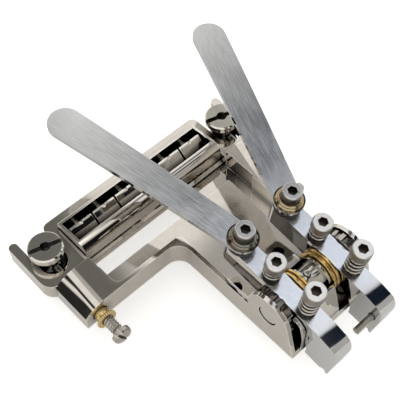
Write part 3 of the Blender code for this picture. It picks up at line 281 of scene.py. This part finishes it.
# Socket screws. dark is the colour between the teeth of the side and in the grain of the top, and a share
# of it is the painted shade in the socket. The side's colour paints the side darker than the top: painted
# shade.
STOP_HEAD = dict(
    colour=rgb(0.92, 0.89, 0.85), shaded_side_colour=rgb(0.36, 0.33, 0.29), dark=rgb(0.08, 0.055, 0.04),
    roughness=0.28)
BOLT_HEAD = dict(
    colour=rgb(0.74, 0.71, 0.68), shaded_side_colour=rgb(0.20, 0.18, 0.16), dark=rgb(0.05, 0.035, 0.03),
    roughness=0.18)

BLACK_PAD = dict(
    colour=rgb(0.02, 0.02, 0.02), other=rgb(0.05, 0.05, 0.05), roughness=0.6, size=0.001)


def finish_metal(graph, colour, roughness, bump, anisotropy=0.0, tangent=None):
    inputs = {"Base Color": colour, "Metallic": 1.0, "Roughness": roughness, "Anisotropic": anisotropy,
              "Normal": bump}
    if tangent is not None:
        inputs["Tangent"] = tangent
    graph.show(graph.add("ShaderNodeBsdfPrincipled", inputs).outputs[0])


def share_of(colour, share):
    return rgb(*(part * share for part in colour[:3]))


def paint_crevice_shade(graph, colour, dark, reach, closed_at, open_at):
    """The colour with painted shade: darkened where the surface is closed in, as in sockets and narrow
    gaps.
    """
    nearby = graph.add("ShaderNodeAmbientOcclusion", {"Distance": reach}, samples=CREVICE_SAMPLES)
    return graph.mix(graph.ramp(nearby.outputs["AO"], closed_at, open_at), dark, colour)


def paint_edge_highlight(graph, colour, bright):
    """The colour with a painted highlight: lighter along the edges."""
    rounded = graph.add("ShaderNodeBevel", {"Radius": EDGE_HIGHLIGHT_REACH}, samples=EDGE_SAMPLES).outputs[0]
    flat = graph.add("ShaderNodeNewGeometry").outputs["Normal"]
    bend = graph.math("SUBTRACT", 1.0, graph.vector("DOT_PRODUCT", rounded, flat))
    return graph.mix(graph.ramp(bend, *EDGE_BEND), colour, bright)


def polished_metal(name, colour, worn, roughness, wave_size, wave_height, reach, closed, closed_at,
                   open_at, edge_highlight=False):
    """Plated metal: clear reflections, faint waves from buffing and slightly duller patches, with painted
    shade where it is closed in and, where asked, a painted highlight along the edges.
    """
    material, graph = new_material(name)
    place = graph.add("ShaderNodeTexCoord").outputs["Object"]
    waves = graph.noise(place, 1 / wave_size, detail=1.0)
    bump = graph.bump(waves, 1.0, wave_height)
    marks = graph.noise(place, MARK_SCALE, detail=3.0)
    dull = graph.ramp(marks, *NOISE_SPAN, roughness * MARK_DULL[0], roughness * MARK_DULL[1])
    tint = graph.mix(graph.ramp(marks, *MARK_WORN), colour, worn)
    # painted highlight along the edges
    if edge_highlight:
        tint = paint_edge_highlight(graph, tint, EDGE_HIGHLIGHT_COLOUR)
    # painted shade where the surface is closed in
    shaded = paint_crevice_shade(graph, tint, share_of(worn, closed), reach, closed_at, open_at)
    finish_metal(graph, shaded, dull, bump)
    return material


def brushed_metal(name, along, upward, colour, dark, sides, roughness, grain, depth, stretch):
    """Metal brushed in one direction on its top and underside. Its sides are polished, and painted darker
    than the top: painted shade.
    """
    material, graph = new_material(name)
    coordinates = graph.add("ShaderNodeTexCoord")
    place = coordinates.outputs["Object"]
    run = graph.vector("DOT_PRODUCT", place, tuple(along))
    fine = graph.vector("SCALE", place, scale=1 / grain)
    direction = graph.add("ShaderNodeCombineXYZ", {0: along[0], 1: along[1], 2: along[2]}).outputs[0]
    slide = graph.vector("SCALE", direction, scale=graph.math("MULTIPLY", run, (1 / stretch - 1) / grain))
    stretched = graph.vector("ADD", fine, slide)
    scratches = graph.noise(stretched, 1.0, detail=3.0, Roughness=SCRATCH_CRISPNESS)
    broad = graph.noise(place, PATCH_SCALE, detail=1.0)
    facing = graph.vector("DOT_PRODUCT", coordinates.outputs["Normal"], tuple(upward))
    top = graph.ramp(graph.math("ABSOLUTE", facing), *TOP_FACING)
    bump = graph.bump(scratches, graph.ramp(top, 0.0, 1.0, SIDE_RELIEF, 1.0), depth)
    tint = graph.mix(graph.ramp(scratches, *NOISE_SPAN), dark, colour)
    scratched = graph.ramp(scratches, *NOISE_SPAN, roughness - SCRATCH_SPREAD, roughness + SCRATCH_SPREAD)
    rough = graph.math("ADD", scratched, graph.ramp(broad, *NOISE_SPAN, -PATCH_SPREAD, PATCH_SPREAD))
    rough = graph.math("ADD", graph.math("MULTIPLY", rough, top),
                       graph.ramp(top, 0.0, 1.0, SIDE_ROUGHNESS, 0.0))
    # the sides painted darker than the top: painted shade
    finish_metal(graph, graph.mix(top, sides, tint), rough, bump, BRUSH_ANISOTROPY, direction)
    return material


def knurled_metal(name, node, colour, worn, dark, roughness, teeth, depth, inner, outer):
    """Turned metal with teeth cut along X into the ring between two radii round the node's axis, and
    painted shade where it is closed in.
    """
    material, graph = new_material(name)
    low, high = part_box(node)
    place = graph.add("ShaderNodeTexCoord").outputs["Object"]
    parts = graph.add("ShaderNodeSeparateXYZ", {0: place}).outputs
    across = graph.math("SUBTRACT", parts[1], (low[1] + high[1]) / 2)
    upward = graph.math("SUBTRACT", parts[2], (low[2] + high[2]) / 2)
    turn = graph.math("ARCTAN2", upward, across)
    radius = graph.math("SQRT", graph.math("ADD", graph.math("MULTIPLY", across, across),
                                           graph.math("MULTIPLY", upward, upward)))
    waves = graph.math("SINE", graph.math("MULTIPLY", turn, teeth))
    cut = graph.math("MULTIPLY", waves, graph.ramp(radius, inner, outer))
    grain = graph.noise(place, KNURL_GRAIN, detail=2.0)
    height = graph.math("ADD", cut, graph.math("MULTIPLY", grain, KNURL_GRAIN_SHARE))
    tint = graph.mix(graph.ramp(cut, *KNURL_WORN), worn, colour)
    # painted shade where the surface is closed in
    shaded = paint_crevice_shade(graph, tint, dark, **KNURL_CREVICE)
    finish_metal(graph, shaded, roughness, graph.bump(height, 1.0, depth))
    return material


def node_points(node):
    return np.array([v.co for v in NODES[node].data.vertices])


def screw_head(name, node, colour, shaded_side_colour, dark, roughness):
    """A socket screw whose head has a satin top and a finely knurled side. The side is painted darker
    than the top and the socket is painted dark: painted shade.
    """
    material, graph = new_material(name)
    coordinates = graph.add("ShaderNodeTexCoord")
    place = coordinates.outputs["Object"]
    points = node_points(node)
    away = graph.vector("SUBTRACT", place, tuple((points.min(0) + points.max(0)) / 2))
    across = graph.vector("DOT_PRODUCT", away, tuple(LEVER_SIDE_WAY))
    along = graph.vector("DOT_PRODUCT", away, tuple(LEVER_LONG_WAY))
    waves = graph.math("SINE", graph.math("MULTIPLY", graph.math("ARCTAN2", across, along), HEAD_TEETH))
    facing = graph.vector("DOT_PRODUCT", coordinates.outputs["Normal"], tuple(LEVER_TOP_WAY))
    top = graph.ramp(facing, *HEAD_TOP)
    grain = graph.noise(place, HEAD_GRAIN, detail=2.0)
    relief = graph.ramp(top, 0.0, 1.0, *HEAD_RELIEF)
    bump = graph.bump(graph.mix(top, waves, grain), relief, HEAD_TOOTH_DEPTH)
    # the side painted darker than the top: painted shade
    cut = graph.mix(graph.ramp(waves, -1.0, 1.0, *HEAD_CUT), dark, shaded_side_colour)
    tint = graph.mix(graph.ramp(grain, *NOISE_SPAN, *HEAD_SATIN), dark, colour)
    # painted shade in the socket
    socket = share_of(dark, SOCKET_SHARE)
    shaded = paint_crevice_shade(graph, graph.mix(top, cut, tint), socket, **HEAD_CREVICE)
    finish_metal(graph, shaded, roughness, bump)
    return material


def matt_material(name, colour, other, roughness, size):
    material, graph = new_material(name)
    place = graph.add("ShaderNodeTexCoord").outputs["Object"]
    noise = graph.noise(place, 1 / size, detail=3.0)
    shader = graph.add("ShaderNodeBsdfPrincipled", {
        "Base Color": graph.mix(noise, colour, other), "Roughness": roughness,
        "Normal": graph.bump(noise, MATT_RELIEF, size * MATT_DEPTH)})
    graph.show(shader.outputs[0])
    return material


# The studio: a white tent with cloths and cards hung in it, which the polished metal mirrors.
# Each card covers a range of directions, given by their x and y parts, and has a soft edge.
# x points to the levers' tails and y to the far stud, so that 0, 0 is straight up. A later card
# hangs in front of an earlier one.

SKY = rgb(1.15, 1.15, 1.13)
BACKDROP = rgb(1.0, 1.0, 1.0)   # what the camera itself sees behind the object
CARDS = (
    # x from, x to, y from, y to, edge, colour
    (0.10, 0.52, -0.28, 0.08, 0.06, rgb(0.72, 0.72, 0.71)),
    (-0.80, -0.38, -0.06, 0.275, 0.03, rgb(0.62, 0.62, 0.60)),
    (-0.80, -0.38, 0.10, 0.268, 0.03, rgb(0.20, 0.20, 0.19)),
    (-0.90, -0.39, -0.46, -0.33, 0.03, rgb(0.03, 0.03, 0.03)),
    (-0.90, -0.39, -0.85, -0.57, 0.03, rgb(0.03, 0.03, 0.03)),
    (-0.39, 0.06, 0.27, 0.64, 0.02, rgb(0.54, 0.54, 0.53)),
    (-0.29, -0.12, 0.31, 0.64, 0.04, rgb(0.13, 0.14, 0.16)),
    (-0.10, 0.08, 0.30, 0.64, 0.03, rgb(0.82, 0.87, 0.97)),
    (0.38, 1.10, 0.10, 0.70, 0.03, rgb(0.60, 0.58, 0.54)),
    (0.145, 0.37, 0.36, 0.60, 0.015, rgb(0.010, 0.016, 0.028)),
    (0.58, 1.20, 0.10, 0.36, 0.03, rgb(0.010, 0.010, 0.012)),
    (-0.24, 0.16, 0.12, 0.262, 0.02, rgb(1.70, 1.70, 1.70)),
)
FLOOR_HALF = 3.0                # half of its width
FLOOR_DROP = 0.0005
FLOOR_COLOUR = rgb(0.86, 0.85, 0.83)
FLOOR_SEEN = 0.5                # light of its own where the camera sees it, so that it is white
FLOOR_MIRRORED = 0.04           # and where metal mirrors it


def make_world():
    world = bpy.data.worlds.new("studio")
    bpy.context.scene.world = world
    world.use_nodes = True
    graph = Graph(world.node_tree)
    way = graph.add("ShaderNodeTexCoord").outputs["Generated"]
    parts = graph.add("ShaderNodeSeparateXYZ", {0: way}).outputs
    colour = graph.add("ShaderNodeRGB").outputs[0]
    colour.default_value = SKY
    for x_from, x_to, y_from, y_to, edge, card in CARDS:
        across = graph.band(parts[0], x_from, x_to, edge)
        along = graph.band(parts[1], y_from, y_to, edge)
        colour = graph.mix(graph.math("MULTIPLY", across, along), colour, card)
    seen = graph.add("ShaderNodeLightPath").outputs["Is Camera Ray"]
    back = graph.add("ShaderNodeBackground", {"Color": graph.mix(seen, colour, BACKDROP)})
    graph.show(back.outputs[0], "ShaderNodeOutputWorld")


def make_floor():
    """A white floor under the studs. The part of it that the camera sees is lifted to white,
    and the object's soft shadow stays."""
    low = CAD_BOX[0].z - FLOOR_DROP
    mesh = bpy.data.meshes.new("floor")
    floor = bpy.data.objects.new("floor", mesh)
    bpy.context.scene.collection.objects.link(floor)
    shape = bmesh.new()
    bmesh.ops.create_grid(shape, x_segments=1, y_segments=1, size=FLOOR_HALF)
    bmesh.ops.translate(shape, verts=shape.verts, vec=(0, 0, low))
    shape.to_mesh(mesh)
    shape.free()
    material, graph = new_material("floor_white")
    path = graph.add("ShaderNodeLightPath").outputs
    mirrored = graph.math("MAXIMUM", path["Is Glossy Ray"], path["Is Transmission Ray"])
    lift = graph.math("ADD", graph.math("MULTIPLY", path["Is Camera Ray"], FLOOR_SEEN),
                      graph.math("MULTIPLY", mirrored, FLOOR_MIRRORED))
    diffuse = graph.add("ShaderNodeBsdfDiffuse", {"Color": FLOOR_COLOUR})
    own = graph.add("ShaderNodeEmission", {"Strength": lift})
    shown = graph.add("ShaderNodeAddShader", {0: diffuse.outputs[0], 1: own.outputs[0]})
    graph.show(shown.outputs[0])
    mesh.materials.append(material)


# Dressing the CAD nodes.

WELD_GAP = 0.000002             # corners closer than this are one corner
SHARP_ANGLE = math.radians(30)
NORMAL_WEIGHT = 100


def long_axis(node):
    """The direction in which a CAD node is longest."""
    points = node_points(node)
    spread = np.linalg.svd(points - points.mean(0), full_matrices=False)[2]
    return Vector(spread[0]).normalized()


def soften(node, width, segments):
    """Rounds a CAD node's sharp edges with modifiers, so that they catch the light."""
    obj = NODES[node]
    weld = obj.modifiers.new("weld", "WELD")
    weld.merge_threshold = WELD_GAP
    bevel = obj.modifiers.new("bevel", "BEVEL")
    bevel.width = width
    bevel.segments = segments
    bevel.limit_method = "ANGLE"
    bevel.angle_limit = SHARP_ANGLE
    bevel.use_clamp_overlap = True
    bevel.harden_normals = False
    bevel.miter_outer = "MITER_SHARP"
    weighted = obj.modifiers.new("normals", "WEIGHTED_NORMAL")
    weighted.keep_sharp = False
    weighted.weight = NORMAL_WEIGHT


def dress(nodes, material, edge=None, segments=2):
    """Gives CAD nodes a material and, where edge is given, edges rounded that wide."""
    for node in nodes:
        data = NODES[node].data
        data.materials.clear()
        data.materials.append(material)
        if edge:
            soften(node, edge, segments)


# Screw threads, each one ridge wound round its screw's plain shank, and springs. A thread has the
# radius of its shank, the ridge's rise, its pitch, the length that it covers along the screw and, where
# it starts under a head, how thick that head is.

THREAD_STEPS = 24               # points in one turn
THREAD_BITE = 0.00005           # how far a ridge's foot sinks into the shank
THREAD_HALF = 0.42              # half of a ridge's foot, as a share of the pitch
THREAD_CREST = 0.25             # its flat crest, as a share of its foot
THREAD_END = 0.1                # its size at its two ends, as a share of its full size
RIDGE_CORNERS = 4               # of a ridge's section
POSITION_THREAD = {"core": 0.0018, "rise": 0.00025, "pitch": 0.00115, "run": 0.0148, "head": 0.0026}
STUD_THREAD = {"core": 0.0039, "rise": 0.00035, "pitch": 0.00125, "run": 0.0086}
SADDLE_THREAD = {"core": 0.0011, "rise": 0.00014, "pitch": 0.00045, "run": 0.0092, "head": 0.0010}

SPRING_WIRE = 0.00045           # radius of the wire
SPRING_PITCH = 0.0022
SPRING_STEPS = 32               # points in one curl
SPRING_SIDES = 12
FEWEST_CURLS = 2


def skin(name, rings, material):
    """A closed solid through rings of as many points each. Only a round wire is shaded smooth,
    and not a thread's ridge, whose sides are flat."""
    points = [point for ring in rings for point in ring]
    size = len(rings[0])
    last = (len(rings) - 1) * size
    faces = [tuple(reversed(range(size))), tuple(range(last, last + size))]
    for start in range(0, last, size):
        for edge in range(size):
            after = (edge + 1) % size
            faces.append((start + edge, start + after, start + size + after, start + size + edge))
    mesh = bpy.data.meshes.new(name)
    mesh.from_pydata(points, [], faces)
    mesh.materials.append(material)
    for face in mesh.polygons[2:]:
        face.use_smooth = size > RIDGE_CORNERS
    shape = bmesh.new()
    shape.from_mesh(mesh)
    bmesh.ops.recalc_face_normals(shape, faces=shape.faces)
    shape.to_mesh(mesh)
    shape.free()
    obj = bpy.data.objects.new(name, mesh)
    bpy.context.scene.collection.objects.link(obj)
    return obj


def make_thread(name, body, start, way, thread, material):
    """A ridge with a narrow crest from start along way, thinner over its first and last turn."""
    way = Vector(way)
    side = way.orthogonal().normalized()
    other = way.cross(side)
    turns = thread["run"] / thread["pitch"]
    count = int(turns * THREAD_STEPS)
    foot = thread["core"] - THREAD_BITE
    rings = []
    for step in range(count + 1):
        turn = step / THREAD_STEPS
        share = min(1.0, THREAD_END + turn, THREAD_END + (count / THREAD_STEPS - turn))
        out = side * math.cos(math.tau * turn) + other * math.sin(math.tau * turn)
        middle = Vector(start) + way * (turn * thread["pitch"])
        half = way * (THREAD_HALF * thread["pitch"] * share)
        top = out * (thread["core"] + thread["rise"] * share)
        flat = half * THREAD_CREST
        rings.append([middle + out * foot - half, middle + top - flat,
                      middle + top + flat, middle + out * foot + half])
    ridge = skin(name, rings, material)
    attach(ridge, body)


def make_threads(wire, plate, tiny):
    for side in SIDES:
        low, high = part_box("position_screw_" + side)
        start = (high[0] - POSITION_THREAD["head"], (low[1] + high[1]) / 2, (low[2] + high[2]) / 2)
        make_thread("position_thread_" + side, "position_screw_" + side, start, (-1, 0, 0),
                    POSITION_THREAD, wire)
        low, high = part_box("stud_" + side)
        foot = ((low[0] + high[0]) / 2, (low[1] + high[1]) / 2, low[2])
        make_thread("stud_thread_" + side, "frame", foot, (0, 0, 1), STUD_THREAD, plate)
    for index in STRINGS:
        low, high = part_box("saddle_screw_%d" % index)
        start = (high[0] - SADDLE_THREAD["head"], (low[1] + high[1]) / 2, (low[2] + high[2]) / 2)
        make_thread("saddle_thread_%d" % index, "saddle_screw_%d" % index, start, (-1, 0, 0),
                    SADDLE_THREAD, tiny)


def make_spring(node, material):
    """A finer winding of a CAD spring, as round as real wire, in the same place."""
    points = node_points(node)
    height = points @ np.array(LEVER_TOP_WAY)
    along = points @ np.array(LEVER_LONG_WAY)
    middle = LEVER_LONG_WAY * (along.min() + along.max()) * 0.5
    middle.y = (points[:, 1].min() + points[:, 1].max()) / 2
    low = height.min() + SPRING_WIRE
    high = height.max() - SPRING_WIRE
    coil = (along.max() - along.min()) / 2 - SPRING_WIRE
    curls = max(FEWEST_CURLS, round((high - low) / SPRING_PITCH))
    count = curls * SPRING_STEPS
    rings = []
    for step in range(count + 1):
        turn = math.tau * step / SPRING_STEPS
        out = LEVER_LONG_WAY * math.cos(turn) + LEVER_SIDE_WAY * math.sin(turn)
        place = middle + out * coil + LEVER_TOP_WAY * (low + (high - low) * step / count)
        rings.append([place + (out * math.cos(angle) + LEVER_TOP_WAY * math.sin(angle)) * SPRING_WIRE
                      for angle in (math.tau * i / SPRING_SIDES for i in range(SPRING_SIDES))])
    piece = skin(node + "_wire", rings, material)
    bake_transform(piece)
    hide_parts(node)


def dress_bridge(metals):
    """The frame, the bar with its saddles, the studs, and the axle with its sleeve."""
    dress(("mounting_frame",), metals["nickel"], edge=0.0005, segments=3)
    dress(("saddle_bar",), metals["bar_nickel"], edge=0.0004, segments=3)
    dress(("stud_near", "stud_far"), metals["stud_plate"], edge=0.00025)
    dress(["saddle_%d" % index for index in STRINGS], metals["saddle_steel"], edge=0.00025)
    dress(["saddle_screw_%d" % index for index in STRINGS], metals["saddle_screw_steel"], edge=0.0001)
    dress(("axle", "axle_sleeve", "sleeve_screw"), metals["bearing_steel"], edge=0.0002)


def dress_side(side, metals, pad):
    """What comes once on each side: a position screw and its bush, a lever with all that it carries,
    and a handle."""
    wire = metals["spring_wire"]
    knurled = knurled_metal("knurled_brass_" + side, "position_bush_" + side, **KNURLED_BRASS)
    dress(["position_bush_" + side], knurled, edge=0.00015)
    dress(["bush_" + side], metals["turned_brass"], edge=0.00015)
    dress([n + side for n in ("position_screw_", "lock_washer_", "string_pin_")], wire, edge=0.0002)
    for stop in ("front_stop_", "rear_stop_"):
        head = screw_head(stop + "steel_" + side, stop + side, **STOP_HEAD)
        dress([stop + side], head, edge=0.0008, segments=4)
    bolt = screw_head("bolt_steel_" + side, "handle_bolt_" + side, **BOLT_HEAD)
    dress(["handle_bolt_" + side], bolt, edge=0.0006, segments=3)
    for place in ("front_", "rear_"):
        dress([place + "spring_" + side], wire)
        make_spring(place + "spring_" + side, wire)
    dress(["side_bearing_" + side], metals["toothed_steel"], edge=0.0002)
    dress(["cup_washer_" + side], metals[CUP_METAL[side]], edge=0.0006, segments=3)
    dress(["handle_pad_" + side], pad, edge=0.0002)
    lever = brushed_metal("brushed_lever_" + side, long_axis("lever_" + side), LEVER_TOP_WAY,
                          **BRUSHED_LEVER)
    dress(["lever_" + side], lever, edge=0.0003)
    handle = brushed_metal("brushed_handle_" + side, long_axis("handle_" + side), LEVER_TOP_WAY,
                           **BRUSHED_HANDLE)
    dress(["handle_" + side], handle, edge=0.0004, segments=3)


def dress_all():
    metals = {name: polished_metal(name, **look) for name, look in METALS.items()}
    pad = matt_material("black_pad", **BLACK_PAD)
    dress_bridge(metals)
    make_threads(metals["spring_wire"], metals["stud_plate"], metals["saddle_screw_steel"])
    for side in SIDES:
        dress_side(side, metals, pad)


bpy.context.scene.view_settings.view_transform = "Standard"
make_camera()
make_world()
make_floor()
dress_all()
